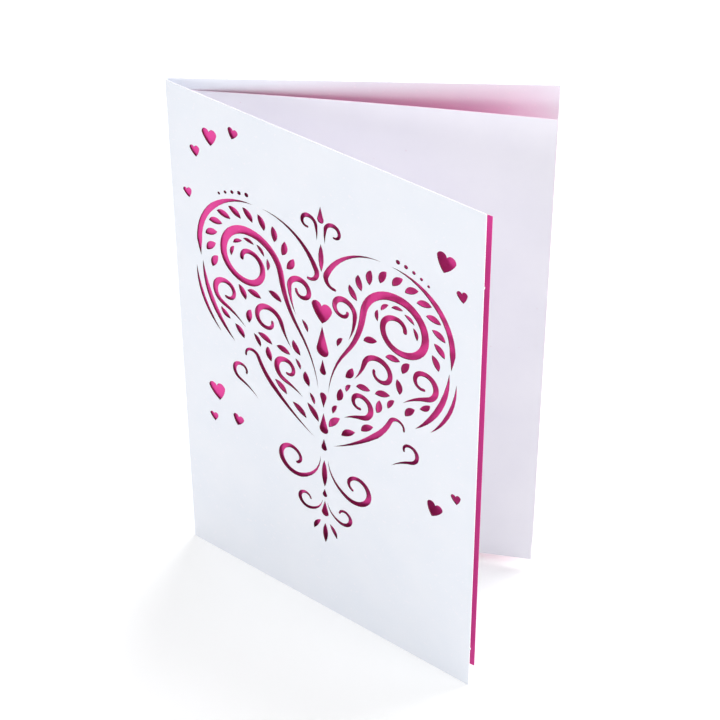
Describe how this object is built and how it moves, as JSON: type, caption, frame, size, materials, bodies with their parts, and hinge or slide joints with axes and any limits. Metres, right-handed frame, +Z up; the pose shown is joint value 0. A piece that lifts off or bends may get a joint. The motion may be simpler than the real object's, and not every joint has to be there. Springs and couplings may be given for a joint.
{
  "type": "greeting card",
  "caption": "Folded greeting card standing open: a laser-cut cover with a filigree heart of cut-outs on its front panel, around a two-tone folded paper insert.",
  "frame": {"origin": "centre of the standing card's box, at the level of the surface that it stands on", "axes": "+Z up along the fold; +X along the front panel from the fold to its free edge; the front panel faces -Y and the back panel opens towards +Y"},
  "size_m": [0.1146, 0.0674, 0.178],
  "materials": {
    "cover_card": "matte white card with a faint sheen, lighter cut edges",
    "insert_paper": "matte paper, magenta on its outer side and near white on its inner side",
    "glue": "dried clear paper glue"
  },
  "bodies": {
    "root": {"card_cover": "cover_card", "insert_sheet": "insert_paper", "glue_strip": "glue"}
  },
  "joints": []
}
